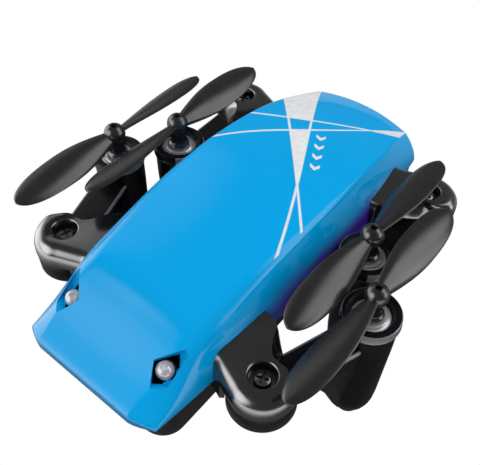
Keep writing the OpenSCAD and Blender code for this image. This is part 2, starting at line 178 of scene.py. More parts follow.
def rounded_box(name, low, high, radius, segments=3):
    bm = bmesh.new()
    bmesh.ops.create_cube(bm, size=1)
    for v in bm.verts:
        for i in range(3):
            v.co[i] = low[i] if v.co[i] < 0 else high[i]
    bmesh.ops.bevel(bm, geom=bm.edges[:], offset=radius, segments=segments, profile=0.5, affect="EDGES")
    mesh = bpy.data.meshes.new(name)
    bm.to_mesh(mesh)
    bm.free()
    obj = bpy.data.objects.new(name, mesh)
    bpy.context.scene.collection.objects.link(obj)
    return obj


def finish_piece(obj, matrix, body, nodes, sharp=35):
    """Moves the mesh from its own place in millimetres to the shared frame in metres, attaches it to its body
    and hides the CAD nodes it stands for.
    """
    obj.data.transform(Matrix.Scale(1 / MM, 4) @ matrix)
    tidy = bmesh.new()
    tidy.from_mesh(obj.data)
    bmesh.ops.recalc_face_normals(tidy, faces=tidy.faces)
    tidy.to_mesh(obj.data)
    tidy.free()
    obj.data.shade_smooth()
    obj.data.set_sharp_from_angle(angle=math.radians(sharp))
    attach(obj, body)
    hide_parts(*nodes)
    return obj


def spline(points, per=8):
    """Closed smooth curve through the points."""
    pts = np.array(points, float)
    n = len(pts)
    out = []
    for i in range(n):
        p0, p1, p2, p3 = pts[i - 1], pts[i], pts[(i + 1) % n], pts[(i + 2) % n]
        for k in range(per):
            t = k / per
            out.append(0.5 * (2 * p1 + (p2 - p0) * t + (2 * p0 - 5 * p1 + 4 * p2 - p3) * t ** 2
                              + (3 * p1 - p0 - 3 * p2 + p3) * t ** 3))
    return np.array(out)


# ---------------------------------------------------------------- materials


class Nodes:
    """A material's node tree with short calls for sums and noises."""

    def __init__(self, name):
        self.mat = bpy.data.materials.new(name)
        self.mat.use_nodes = True
        self.tree = self.mat.node_tree
        self.tree.nodes.clear()
        self.out = self.tree.nodes.new("ShaderNodeOutputMaterial")
        self.bsdf = self.tree.nodes.new("ShaderNodeBsdfPrincipled")
        self.tree.links.new(self.bsdf.outputs[0], self.out.inputs["Surface"])
        self.coord = self.tree.nodes.new("ShaderNodeTexCoord").outputs["Object"]

    def put(self, socket, value):
        if hasattr(value, "is_output"):
            self.tree.links.new(value, socket)
        else:
            socket.default_value = value

    def math(self, op, a, b=0.0, clamp=False):
        node = self.tree.nodes.new("ShaderNodeMath")
        node.operation = op
        node.use_clamp = clamp
        self.put(node.inputs[0], a)
        self.put(node.inputs[1], b)
        return node.outputs[0]

    def noise(self, scale, detail=3, rough=0.5, vector=None):
        node = self.tree.nodes.new("ShaderNodeTexNoise")
        node.inputs["Scale"].default_value = scale
        node.inputs["Detail"].default_value = detail
        node.inputs["Roughness"].default_value = rough
        self.put(node.inputs["Vector"], vector or self.coord)
        return node.outputs["Fac"]

    def range(self, value, low, high, a=0.3, b=0.7):
        node = self.tree.nodes.new("ShaderNodeMapRange")
        for key, v in (("Value", value), ("From Min", a), ("From Max", b), ("To Min", low), ("To Max", high)):
            self.put(node.inputs[key], v)
        return node.outputs[0]

    def mix(self, fac, a, b):
        node = self.tree.nodes.new("ShaderNodeMix")
        node.data_type = "RGBA"
        self.put(node.inputs[0], fac)
        self.put(node.inputs[6], a)
        self.put(node.inputs[7], b)
        return node.outputs[2]

    def poly(self, x, coefficients):
        total = float(coefficients[0])
        for c in coefficients[1:]:
            total = self.math("ADD", self.math("MULTIPLY", x, total), float(c))
        return total

    def bump(self, height, strength, distance):
        node = self.tree.nodes.new("ShaderNodeBump")
        node.inputs["Strength"].default_value = strength
        node.inputs["Distance"].default_value = distance
        self.put(node.inputs["Height"], height)
        self.put(self.bsdf.inputs["Normal"], node.outputs[0])


def rgb(color, factor=1.0):
    return (*[min(1.0, c * factor) for c in color], 1.0)


def material(name, color, rough, metallic=0.0, spec=0.5, coat=0.0, vary=0.12, bump=0.1, grain=1500.0,
             rough_vary=0.06):
    n = Nodes(name)
    tone = n.range(n.noise(130.0, 4), 0.0, 1.0)
    n.put(n.bsdf.inputs["Base Color"], n.mix(tone, rgb(color, 1 - vary), rgb(color, 1 + vary)))
    low, high = max(0.02, rough - rough_vary), rough + rough_vary
    n.put(n.bsdf.inputs["Roughness"], n.range(n.noise(260.0, 3), low, high))
    n.bsdf.inputs["Metallic"].default_value = metallic
    n.bsdf.inputs["Specular IOR Level"].default_value = spec
    n.bsdf.inputs["Coat Weight"].default_value = coat
    n.bsdf.inputs["Coat Roughness"].default_value = 0.08
    n.bump(n.noise(grain, 2), bump, 0.00002)
    return n.mat


BLUE = (0.0, 0.376, 0.814)
cover_inner_mat = material("cover_inside", (0.0, 0.22, 0.5), 0.4)
# painted shade: near-black for the cover's cut walls and inside around each window, standing in for the shade
# in the well; the lamp holder has this black as its own colour
well_shade_and_holder_mat = material("window_well_shade_and_holder", (0.004, 0.004, 0.005), 0.35, spec=0.3)
shoulder_mat = material("shoulder_gloss", (0.006, 0.006, 0.007), 0.22, spec=0.8, coat=0.7, bump=0.03)
arm_mat = material("arm_satin", (0.0045, 0.005, 0.006), 0.28, spec=0.15, bump=0.12)
# painted highlight: light grey standing in for the thin highlight lines on the pod collar's lower edge and
# the beam's outer top edge
highlight_line_mat = material("arm_edge_painted_highlight", (0.16, 0.16, 0.17), 0.3, spec=0.6, bump=0.1)
prop_mat = material("propeller_satin", (0.014, 0.014, 0.0155), 0.27, spec=0.4, bump=0.015, vary=0.06,
                    rough_vary=0.03)
hub_mat = material("propeller_hub", (0.012, 0.012, 0.013), 0.24, spec=0.5, bump=0.05)
shell_mat = material("shell_satin", (0.008, 0.008, 0.009), 0.38, spec=0.2, bump=0.2)
foot_mat = material("foot_rubber", (0.007, 0.007, 0.008), 0.55, spec=0.25, bump=0.4)
button_mat = material("button_satin", (0.02, 0.02, 0.022), 0.4)
screw_mat = material("screw_dark", (0.16, 0.155, 0.15), 0.28, metallic=1.0, rough_vary=0.1, bump=0.1)
steel_mat = material("steel_small", (0.55, 0.55, 0.56), 0.25, metallic=1.0)
brass_mat = material("bush_brass", (0.34, 0.24, 0.11), 0.42, metallic=1.0)
can_mat = material("motor_can", (0.5, 0.5, 0.52), 0.3, metallic=1.0)
cap_mat = material("motor_end", (0.46, 0.46, 0.48), 0.32, metallic=0.55, vary=0.18, bump=0.2)
board_mat = material("board_green", (0.01, 0.11, 0.04), 0.45)
foil_mat = material("cell_foil", (0.55, 0.56, 0.58), 0.3, metallic=0.8, bump=0.5, grain=500.0)


def lamp_material():
    n = Nodes("lamp_clear")
    grain = n.range(n.noise(900.0, 5, 0.7), 0.0, 1.0, 0.35, 0.65)
    n.put(n.bsdf.inputs["Base Color"], n.mix(grain, (0.24, 0.24, 0.26, 1), (0.62, 0.61, 0.63, 1)))
    n.put(n.bsdf.inputs["Roughness"], n.range(n.noise(700.0), 0.1, 0.2))
    n.bsdf.inputs["Coat Weight"].default_value = 0.6
    n.bump(n.noise(1300.0, 3), 0.25, 0.00004)
    return n.mat


lamp_mat = lamp_material()


def rotor_material():
    """Shaft above painted near-black as painted shade in the hub's bore, copper coil below."""
    n = Nodes("rotor_coil")
    xyz = n.tree.nodes.new("ShaderNodeSeparateXYZ")
    n.put(xyz.inputs[0], n.coord)
    height = n.math("SUBTRACT", n.math("MULTIPLY", xyz.outputs[2], MM), SHOULDER_TOP)
    # painted shade: above this height the shaft is near-black, standing in for the shade in the hub's bore
    shaft = n.range(height, 0.0, 1.0, -2.4, -2.2)
    wound = n.range(n.noise(1800.0, 4, 0.7), 0.0, 1.0)
    copper = n.mix(wound, (0.42, 0.17, 0.06, 1), (0.66, 0.3, 0.12, 1))
    n.put(n.bsdf.inputs["Base Color"], n.mix(shaft, copper, (0.03, 0.03, 0.032, 1)))
    n.put(n.bsdf.inputs["Roughness"], n.range(n.noise(900.0), 0.3, 0.45))
    n.bsdf.inputs["Metallic"].default_value = 0.7
    n.bump(n.noise(2500.0, 2), 0.3, 0.00003)
    return n.mat


coil_mat = rotor_material()

# ---------------------------------------------------------------- top cover
COVER_ROWS = [
    (-HALF_LENGTH, 9.2, -3.2, 0, 13.2), (-32.5, 9.9, -0.9, 0, 13.6), (-26.1, 11, 2.5, 0.1, 14.1),
    (-23.1, 11.1, 3.9, 0.3, 14.3), (-18.8, 11.4, 4.7, 0.6, 14.6), (-8, 12.2, 5.9, 1, 15),
    (1, 12.5, 6.15, 1.1, 15.1), (7, 12.5, 6.05, 1.1, 15.1), (17.1, 12.1, 5.1, 1, 14.8),
    (24.3, 11.5, 3.7, 0.9, 14.3), (31.8, 10.4, 1.5, 0.8, 13.6), (HALF_LENGTH, 9.8, -0.6, 0.7, 13),
]
FILLET_Y = [-37.4, -33, -30.5, -27, -24, -18, -10, 0, 10, 37.4]
FILLET_D = [0.12, 0.15, 0.3, 1.2, 2.3, 2.4, 1.6, 0.8, 0.5, 0.4]
NOSE_BOW, TAIL_BOW, BOW_START = 1.7, 2.2, 15.0
LIP = 0.45
# the nose's edge is straight between the creases and sweeps back beside them
NOSE_STRAIGHT, NOSE_FLAT, NOSE_SWEEP = 9.2, 0.62, 1.55


def column(i, c):
    return COVER_ROWS[i][c]


def row_slope(i, c):
    a, b = max(0, i - 1), min(len(COVER_ROWS) - 1, i + 1)
    return (column(b, c) - column(a, c)) / (column(b, 0) - column(a, 0))


def section(y, c):
    i = 0
    while i < len(COVER_ROWS) - 2 and y >= column(i + 1, 0):
        i += 1
    step = column(i + 1, 0) - column(i, 0)
    t = (y - column(i, 0)) / step
    return ((2 * t ** 3 - 3 * t ** 2 + 1) * column(i, c) + (t ** 3 - 2 * t ** 2 + t) * step * row_slope(i, c)
            + (3 * t ** 2 - 2 * t ** 3) * column(i + 1, c) + (t ** 3 - t ** 2) * step * row_slope(i + 1, c))


def bow(y):
    depth = NOSE_BOW if y < 0 else -TAIL_BOW
    return depth * (max(0, abs(y) - BOW_START) / (HALF_LENGTH - BOW_START)) ** 2


CROWN_STEPS, FILLET_STEPS, SIDE_STEPS = 14, 7, 14
SIDE_BULGE = 2.2


def half_section(y, inset, lip):
    ridge_x, ridge_z = section(y, 1) - inset, section(y, 2) - inset
    edge_x, crown = section(y, 4) - inset, section(y, 3)
    d = float(np.interp(y, FILLET_Y, FILLET_D))
    pts = []
    flat = ridge_x - d
    for k in range(CROWN_STEPS + 1):
        u = k / CROWN_STEPS * flat / ridge_x
        pts.append((ridge_x * u, ridge_z + crown * (1 - u ** 2)))

    def side(t):
        out = 1 - max(0.0, 1 - t) ** SIDE_BULGE
        return (ridge_x + (edge_x - ridge_x) * out, ridge_z + (SEAM - ridge_z) * t)

    speed = math.hypot(SIDE_BULGE * (edge_x - ridge_x), ridge_z - SEAM)
    t2 = min(0.5, d / speed)
    p0, p1, p2 = pts[-1], (ridge_x, ridge_z), side(t2)
    for k in range(1, FILLET_STEPS + 1):
        t = k / FILLET_STEPS
        pts.append(tuple((1 - t) ** 2 * p0[i] + 2 * t * (1 - t) * p1[i] + t ** 2 * p2[i] for i in (0, 1)))
    for k in range(1, SIDE_STEPS + 1):
        pts.append(side(t2 + (1 - t2) * k / SIDE_STEPS))
    return [(x, max(SEAM, z - lip)) for x, z in pts]


def cover_ring(y, inset, lip=0.0, flat=False):
    half = half_section(y, inset, lip)
    both = half[::-1] + [(-x, z) for x, z in half[1:]]
    edge = section(y, 4)
    ring = []
    for x, z in both:
        if y < 0:
            swept = max(0.0, (abs(x) - NOSE_STRAIGHT) / (edge - NOSE_STRAIGHT))
            shift = NOSE_FLAT + NOSE_SWEEP * swept ** 1.4
            shift *= (max(0.0, -y - BOW_START) / (HALF_LENGTH - BOW_START)) ** 2
        else:
            shift = bow(y) * (x / edge) ** 2
        ring.append((x, y + shift, SEAM if flat else z))
    return ring


def cover_stations(half):
    ends = [0.0, 0.06, 0.18, 0.32, LIP]
    middle = np.linspace(-half + LIP, half - LIP, 130)[1:-1]
    return [-half + e for e in ends] + list(middle) + [half - e for e in reversed(ends)]


def cover_grid(inset):
    half = HALF_LENGTH - inset
    rings = []
    for y in cover_stations(half):
        near = min(half - abs(y), LIP)
        lip = LIP - math.sqrt(max(0.0, LIP ** 2 - (LIP - near) ** 2)) if inset == 0 else 0.0
        rings.append(cover_ring(y, inset, lip))
    return [cover_ring(-half, inset, 0, True)] + rings + [cover_ring(half, inset, 0, True)]


def cover_solid(wall):
    outer, inner = cover_grid(0), cover_grid(wall)
    rows, cols = len(outer), len(outer[0])
    shift = rows * cols
    verts = [p for ring in outer + inner for p in ring]
    faces, kinds = [], []
    for i in range(rows - 1):
        for k in range(cols - 1):
            a = i * cols + k
            faces.append((a, a + 1, a + cols + 1, a + cols))
            faces.append((shift + a, shift + a + cols, shift + a + cols + 1, shift + a + 1))
            kinds += [0, 1]
    border = [k for k in range(cols - 1)]
    border += [i * cols + cols - 1 for i in range(rows - 1)]
    border += [(rows - 1) * cols + k for k in range(cols - 1, 0, -1)]
    border += [i * cols for i in range(rows - 1, 0, -1)]
    for k, a in enumerate(border):
        b = border[(k + 1) % len(border)]
        faces.append((b, a, a + shift, b + shift))
        kinds.append(0)
    return verts, faces, kinds


def quads_hull(name, a, b):
    bm = bmesh.new()
    for p in list(a) + list(b):
        bm.verts.new(p)
    bmesh.ops.convex_hull(bm, input=bm.verts[:])
    mesh = bpy.data.meshes.new(name)
    bm.to_mesh(mesh)
    bm.free()
    obj = bpy.data.objects.new(name, mesh)
    bpy.context.scene.collection.objects.link(obj)
    tidy_mesh(obj)
    return obj


LAMP_AT = Vector((9.47, -29, -0.8))
LAMP_AXIS = Vector((0.216, -0.408, 0.887)).normalized()
# corners of a window's bevel at the surface, and of the opening below it
BEVEL = [Vector(p) for p in (
    (7.86, -29.38, 1.0), (10.76, -25.87, 1.91), (12.23, -28.86, -1.74), (9.83, -32.47, -0.9))]
WINDOW = [Vector(p) for p in (
    (7.44, -29.17, -0.53), (9.64, -26.61, 0.11), (11.27, -28.86, -1.32), (8.99, -31.26, -1.87))]
BEVEL_OVERSHOOT, WINDOW_DEPTH, WINDOW_LAP = 1.35, 3.0, 0.01


def window_cutters():
    cutters = []
    for sign in (1, -1):
        flip = Matrix.Diagonal((sign, 1, 1))
        outer = [flip @ (w + (b - w) * BEVEL_OVERSHOOT) for b, w in zip(BEVEL, WINDOW)]
        inner = [flip @ w for w in WINDOW]
        lapped = [flip @ (w + LAMP_AXIS * WINDOW_LAP) for w in WINDOW]
        deep = [flip @ (w - LAMP_AXIS * WINDOW_DEPTH) for w in WINDOW]
        cutters += [quads_hull("c", outer, inner), quads_hull("c", lapped, deep)]
    return cutters


def stripes(n):
    """Mask of the thin silver lines and bands on the cover's top, in its plan."""
    xyz = n.tree.nodes.new("ShaderNodeSeparateXYZ")
    n.put(xyz.inputs[0], n.coord)
    x, y = n.math("MULTIPLY", xyz.outputs[0], MM), n.math("MULTIPLY", xyz.outputs[1], MM)

    def fit(points, degree, swap=False):
        pts = np.array(points)
        return np.polyfit(pts[:, 1 if swap else 0], pts[:, 0 if swap else 1], degree)

    two = fit([(-9.66, 35.84), (-2.5, 21.91), (6.06, 5.71), (10.32, -3.3), (12.05, -7.49)], 3, True)
    three = fit([(-11.76, 16.42), (-6.19, 19.07), (-2.08, 21.81), (6.1, 28.16), (10.25, 32.47)], 3)
    four = fit([(-12.32, 6.29), (-3.12, 16.02), (1.84, 21.83), (6.15, 28.06), (9.75, 35.96)], 3)
    ys = np.linspace(-12, HALF_LENGTH, 60)
    ridge = np.polyfit(ys, [section(v, 1) for v in ys], 5)
    # signed distances, each positive towards the tail or the left
    d1 = n.math("MULTIPLY", n.math("SUBTRACT", n.math("ADD", y, n.math("MULTIPLY", x, 1.151)), 12.58), 0.656)
    d2 = n.math("MULTIPLY", n.math("SUBTRACT", x, n.poly(y, two)), 0.886)
    d3 = n.math("MULTIPLY", n.math("SUBTRACT", y, n.poly(x, three)), 0.8)
    d4 = n.math("MULTIPLY", n.math("SUBTRACT", y, n.poly(x, four)), 0.62)
    across = n.math("DIVIDE", n.math("ABSOLUTE", x), n.poly(y, ridge))
    top = n.range(across, 1.0, 0.0, 0.978, 0.984)
    soft, half_width = 0.05, 0.2

    def inside(d):
        return n.range(d, 0.0, 1.0, -soft, soft)

    def line(d):
        return n.range(n.math("ABSOLUTE", d), 1.0, 0.0, half_width - soft, half_width + soft)

    def both(a, b):
        return n.math("MULTIPLY", a, b)

    def negative(d):
        return n.math("MULTIPLY", d, -1.0)

    fill12 = both(inside(d1), inside(negative(d2)))
    between34 = both(inside(negative(d3)), inside(d4))
    fill12 = both(fill12, n.math("SUBTRACT", 1.0, between34))
    wedge = both(both(inside(d3), inside(negative(d4))), inside(n.math("SUBTRACT", x, 6.1)))
    # four plain chevrons beside the band
    ux, uy = 0.4597, -0.8881
    rx, ry = n.math("SUBTRACT", x, 0.9), n.math("SUBTRACT", y, 18.56)
    u = n.math("ADD", n.math("MULTIPLY", rx, ux), n.math("MULTIPLY", ry, uy))
    v = n.math("SUBTRACT", n.math("MULTIPLY", rx, -uy), n.math("MULTIPLY", ry, -ux))
    bent = n.math("ADD", u, n.math("ABSOLUTE", n.math("SUBTRACT", v, 0.8)))
    phase = n.math("FRACT", n.math("DIVIDE", n.math("SUBTRACT", bent, 0.3), 2.7))
    marks = n.range(n.math("ABSOLUTE", n.math("SUBTRACT", phase, 0.4)), 1.0, 0.0, 0.13, 0.17)
    marks = both(marks, both(inside(v), inside(n.math("SUBTRACT", 1.6, v))))
    marks = both(marks, both(inside(n.math("SUBTRACT", u, 0.0)), inside(n.math("SUBTRACT", 10.8, u))))
    mask = line(d1)
    for part in (line(d2), line(d3), line(d4), fill12, wedge, marks):
        mask = n.math("MAXIMUM", mask, part)
    return both(mask, top)


def cover_material():
    n = Nodes("cover_gloss")
    mask = stripes(n)
    tone = n.range(n.noise(40.0, 2), 0.0, 1.0)
    blue = n.mix(tone, rgb(BLUE, 0.97), rgb(BLUE, 1.03))
    xyz = n.tree.nodes.new("ShaderNodeSeparateXYZ")
    n.put(xyz.inputs[0], n.coord)
    height = n.math("SUBTRACT", n.math("MULTIPLY", xyz.outputs[2], MM), SHOULDER_TOP)
    y = n.math("MULTIPLY", xyz.outputs[1], MM)
    # painted shade: the lower sides between about y -8 and 18 are mixed towards dark violet, standing in for
    # the shade and reflection of the black arms; a noise wave roughens the upper edge of this shade
    shade_edge_wave = n.range(n.noise(120.0, 1), -0.8, 0.8, 0.3, 0.7)
    low = n.range(n.math("ADD", height, shade_edge_wave), 1.0, 0.0, -2.2, 1.6)
    middle = n.range(n.math("ABSOLUTE", n.math("SUBTRACT", y, 5.0)), 1.0, 0.0, 13.0, 24.0)
    blue = n.mix(n.math("MULTIPLY", low, middle), blue, (0.09, 0.03, 0.5, 1))
    silver = n.mix(n.range(n.noise(900.0, 3), 0.0, 1.0), (0.72, 0.74, 0.76, 1), (0.84, 0.85, 0.86, 1))
    n.put(n.bsdf.inputs["Base Color"], n.mix(mask, blue, silver))
    n.put(n.bsdf.inputs["Roughness"], n.range(n.noise(120.0, 2), 0.045, 0.08))
    n.bsdf.inputs["Specular IOR Level"].default_value = 0.18
    n.bump(n.noise(60.0, 2), 0.05, 0.0001)
    return n.mat


def is_bevel(point, normal):
    """True on the slanted faces around a window, which keep the cover's colour."""
    facing = Vector((abs(normal.x) if point.x > 0 else normal.x, normal.y, normal.z))
    return facing.dot(LAMP_AXIS) > 0.25


def build_cover():
    verts, faces, kinds = cover_solid(1.2)
    cover = to_object("cover_shell", (verts, faces), [cover_material(), cover_inner_mat, well_shade_and_holder_mat])
    # the tidy keeps the faces in order, so that their kinds still fit
    for face, kind in zip(cover.data.polygons, kinds):
        face.material_index = kind
    combine(cover, window_cutters(), "DIFFERENCE")
    for face in cover.data.polygons:
        c = face.center
        p = Vector((abs(c.x), c.y, c.z)) - LAMP_AT
        along = p.dot(LAMP_AXIS)
        away = (p - LAMP_AXIS * along).length
        plane = (WINDOW[0] - LAMP_AT).dot(LAMP_AXIS)
        # painted shade: the opening's walls and the cover's inside around the lamp take the near-black in
        # place of the cover's blue
        if away < 2.7 and along < plane + 0.1 and not is_bevel(p + LAMP_AT, face.normal):
            face.material_index = 2
    finish_piece(cover, DATUM, "body", ["top_cover"], 28)


build_cover()

# ---------------------------------------------------------------- headlights


LAMP_HOLDER = [
    (0, -3.3), (1.55, -3.3), (1.65, -3.2), (1.65, -0.75),
    (1.6, -0.68), (1.44, -0.68), (1.44, -2.9), (0, -2.9),
]


def build_headlight(side):
    dome = [(0, -2.8), (1.4, -2.8), (1.4, 0)]
    dome += [(1.4 * math.cos(a), 1.4 * math.sin(a)) for a in np.linspace(0.1, 1.5, 14)] + [(0, 1.4)]
    lamp = to_object(f"headlight_{side}_dome", lathe(dome, 48), [lamp_mat])
    tilt = LAMP_AXIS.to_track_quat("Z", "X").to_matrix().to_4x4()
    flip = Matrix.Diagonal((SIDES[side], 1, 1, 1))
    place = DATUM @ flip @ Matrix.Translation(LAMP_AT) @ tilt
    finish_piece(lamp, place, "body", [f"headlight_{side}"], 40)
    holder = to_object(f"headlight_{side}_holder", lathe(LAMP_HOLDER, 48), [well_shade_and_holder_mat])
    finish_piece(holder, place, "body", [f"headlight_{side}"], 40)


for side in SIDES:
    build_headlight(side)

# ---------------------------------------------------------------- shoulders
EAR_LOW = 5.35
UNDERSIDE, SHOULDER_BOTTOM = -3.3, -7.6
KNUCKLE_ROOM = 5.4
# radius and height, from the floor of the counterbore to the top face
COUNTERBORE = [(2.0, -2.2), (2.06, -2.05), (2.06, -0.3), (2.14, -0.12), (2.3, -0.01), (2.36, 0)]


def compass(radius, degrees):
    a = math.radians(degrees)
    return (radius * math.sin(a), radius * math.cos(a))


def shoulder_stations():
    """Top edge, lower edge, height of the round between them and how full it is, all around the ear."""
    rows = []
    round_part = (
        (84, 3.6, 1.9), (105, 3.4, 2.1), (128, 3.2, 2.4), (150, 3.0, 2.7),
        (170, 2.9, 2.9), (190, 2.9, 2.9), (212, 2.9, 2.9),
    )
    for a, r, h in round_part:
        rows.append((compass(r, a), compass(EAR_LOW, a), h, 1.0))
    rows += [
        ((-3.0, -1.9), (-4.7, -3.8), 2.9, 1.0),
        ((-5.6, -0.9), (-6.7, -3.0), 2.8, 1.0),
        ((-8.7, 0.2), (-8.7, -2.2), 2.6, 1.0),
        ((-8.8, 3.5), (-8.8, 3.5), 0.5, 1.0),
        ((-8.7, 8.2), (-8.7, 8.7), 1.0, 0.7),
        ((-5.6, 8.4), (-5.6, 9.0), 2.0, 0.5),
        ((-4.2, 8.1), (-4.0, 8.7), 2.8, 0.3),
        ((-3.2, 7.2), (-2.7, 7.6), 3.0, 0.3),
        ((-2.5, 5.7), (-1.5, 6.5), 3.1, 0.3),
        ((-1.7, 4.2), (-0.2, 5.4), 3.1, 0.3),
        ((-0.7, 3.2), (1.1, 4.3), 3.1, 0.3),
        ((0.5, 2.95), (2.4, 3.25), 3.0, 0.4),
        ((1.9, 2.9), (3.5, 2.35), 2.8, 0.6),
        ((3.1, 1.9), (4.5, 1.5), 2.2, 0.8),
    ]
    return rows


def shoulder_mesh(end, fold):
    rows = shoulder_stations()
    top = spline([r[0] for r in rows])
    low = spline([r[1] for r in rows])
    height = spline([(r[2], r[3]) for r in rows])
    count = len(top)
    angle = np.arctan2(top[:, 0], top[:, 1])
    ca, sa = math.cos(fold), math.sin(fold)

    def circle(r, z):
        return [(r * math.sin(a), r * math.cos(a), z) for a in angle]

    rings = [circle(r, z) for r, z in COUNTERBORE]
    rings.append([
        (x * 0.5 + 0.5 * 2.4 * math.sin(a), y * 0.5 + 0.5 * 2.4 * math.cos(a), 0.0)
        for (x, y), a in zip(top, angle)])
    rings.append([(x, y, -0.005) for x, y in top])
    for k in range(1, 9):
        t = k / 8
        ring = []
        for (tx, ty), (lx, ly), (h, full) in zip(top, low, height):
            round_out, round_down = math.sin(t * math.pi / 2), 1 - math.cos(t * math.pi / 2)
            out = full * round_out + (1 - full) * t
            down = full * round_down + (1 - full) * t
            ring.append((tx + (lx - tx) * out, ty + (ly - ty) * out, -h * down - 0.005))
        rings.append(ring)
    bottom, inner = [], []
    for x, y in low:
        in_arm_room = (x * ca - y * sa) > -3.45
        walled = not in_arm_room and math.hypot(x, y) > KNUCKLE_ROOM + 0.35
        bottom.append(SHOULDER_BOTTOM if walled else UNDERSIDE - 0.15)
        r = math.hypot(x, y)
        if walled:
            reach = KNUCKLE_ROOM
            lateral = (x * ca - y * sa) / r
            if lateral < -0.05 and (y * ca + x * sa) > 0:
                reach = max(reach, 3.45 / -lateral)
            inner.append(min(0.97, reach / r))
        else:
            inner.append(0.96)
    rings.append([(x, y, z) for (x, y), z in zip(low, bottom)])
    rings.append([(x * s, y * s, z) for (x, y), z, s in zip(low, bottom, inner)])
    rings.append([(x * s, y * s, UNDERSIDE - 0.15) for (x, y), s in zip(low, inner)])
    rings.append([(x * 0.3, y * 0.3, UNDERSIDE - 0.15) for x, y in low])
    return rings_mesh(rings)


for end, side in PLACES:
    name = tag(end, side)
    arm_dir = MOTOR[name].xy - PIVOT[name].xy
    fold = math.atan2(arm_dir.x * SIDES[side], -arm_dir.y * ENDS[end])
    shoulder = to_object(f"shoulder_{name}_bracket", shoulder_mesh(end, fold), [shoulder_mat])
    finish_piece(shoulder, at_pivot(end, side), "body", [f"shoulder_{name}"], 38)

# ---------------------------------------------------------------- pivot screws


def cross_screw(name, radius, low, top):
    rows = [
        (0, low), (radius * 0.96, low), (radius, low + 0.1), (radius, top - 0.45),
        (radius * 0.9, top - 0.2), (radius * 0.6, top - 0.04), (radius * 0.3, top), (0, top),
    ]
    head = to_object(name, lathe(rows, 48), [screw_mat])
    cutters = []
    for turn in (0, 90):
        reach = radius * 0.72
        bar = rounded_box("c", (-reach, -0.2, top - 0.7), (reach, 0.2, top + 0.5), 0.05, 1)
        bar.data.transform(Matrix.Rotation(math.radians(turn + 20), 4, "Z"))
        cutters.append(bar)
    return combine(head, cutters, "DIFFERENCE")


SCREW_SHAFT = [
    (0, SHOULDER_BOTTOM), (0.7, SHOULDER_BOTTOM), (0.8, -7.5), (0.8, -2.3), (0.75, -2.1), (0, -2.1),
]
screws = []
for end, side in PLACES:
    head = cross_screw("screw_head", 1.3, -2.2, -1.0)
    head.data.transform(at_pivot(end, side))
    shaft = to_object("screw_shaft", lathe(SCREW_SHAFT, 32), [screw_mat])
    shaft.data.transform(at_pivot(end, side))
    tidy_mesh(head)
    tidy_mesh(shaft)
    screws += [combine(head, [shaft], "UNION")]


def join(objs, name):
    bm = bmesh.new()
    for o in objs:
        bm.from_mesh(o.data)
    mesh = bpy.data.meshes.new(name)
    bm.to_mesh(mesh)
    bm.free()
    for m in objs[0].data.materials:
        mesh.materials.append(m)
    out = bpy.data.objects.new(name, mesh)
    bpy.context.scene.collection.objects.link(out)
    for o in objs:
        bpy.data.objects.remove(o)
    return out


finish_piece(join(screws, "pivot_screw_set"), Matrix.Identity(4), "body", ["pivot_screws"], 30)

# ---------------------------------------------------------------- arms
POD = [
    (0, -24.3), (1.22, -24.3), (1.22, -26.0), (2.45, -26.0), (2.65, -25.9), (3.35, -24.6),
    (3.7, -23.4), (3.88, -22.4), (4.05, -20), (4.2, -13), (4.35, -6), (4.38, -1.2),
    (4.42, -1.12), (4.6, -1.05), (4.68, -0.95), (4.7, -0.85), (4.62, -0.72), (4.6, 0.32),
    (4.55, 0.5), (4.42, 0.6), (4.0, 0.6), (3.5, 0.56), (3.28, 0.4), (3.18, 0.1),
    (3.04, -0.1), (3.04, -15.2), (0, -15.2),
]
KNUCKLE = [(0, -7.6), (4.75, -7.6), (5.1, -7.5), (5.28, -7.15), (5.28, -3.65), (5.2, -3.52), (0, -3.52)]
# front edge of the web: distance from the pivot and height
GUSSET = [(3.5, -6.9), (6.8, -7.5), (8.3, -8.2), (11.2, -14), (13.4, -20), (15.4, -24.4)]


def gusset_solid():
    """The web under the beam, thinner towards its foot."""
    steps = 12
    rings = []
    tops = np.linspace(-7.0, -24.3, steps)
    for z in tops:
        near = float(np.interp(-z, [-p[1] for p in GUSSET], [p[0] for p in GUSSET]))
        half = float(np.interp(z, (-24.4, -7.0), (1.4, 2.95)))
        far = 16.5
        r = min(0.35, half * 0.3)
        rings.append([
            (-half, far, z), (-half, near + r, z), (-half + r * 0.3, near + r * 0.3, z),
            (-half + r, near, z), (half - r, near, z), (half - r * 0.3, near + r * 0.3, z),
            (half, near + r, z), (half, far, z),
        ])
    return rings_mesh(rings)


def build_arm(end, side):
    name = tag(end, side)
    arm = to_object(f"arm_{name}_shell", lathe(POD, 96), [arm_mat, highlight_line_mat])
    arm.data.transform(Matrix.Translation((0, ARM_LENGTH, 0)))
    beam = rounded_box("beam", (-3, 0, -7.5), (3, ARM_LENGTH - 3.3, -3.55), 0.45, 3)
    knuckle = to_object("knuckle", lathe(KNUCKLE, 96))
    web = to_object("web", gusset_solid())
    combine(arm, [beam, knuckle, web], "UNION")
    bore = to_object("bore", lathe([(0, -9), (1.65, -9), (1.65, -2), (0, -2)], 48))
    room = to_object("room", lathe([(0, -16), (3.04, -15.2), (3.04, 2), (0, 2)], 96))
    room.data.transform(Matrix.Translation((0, ARM_LENGTH, 0)))
    combine(arm, [bore, room], "DIFFERENCE")
    # painted highlight: the collar's lower edge and the beam's outer top edge near the pod take the light
    # grey
    for face in arm.data.polygons:
        c = face.center
        from_motor = math.hypot(c.x, c.y - ARM_LENGTH)
        on_collar = from_motor > 4.5 and -0.98 < c.z < -0.8
        on_beam_edge = abs(c.x) > 2.6 and c.z > -4.0 and c.y > 8.0 and from_motor > 4.45
        face.material_index = 1 if on_collar or on_beam_edge else 0
    finish_piece(arm, along_arm(end, side), f"arm_{name}", [f"arm_{name}"], 32)


for end, side in PLACES:
    build_arm(end, side)

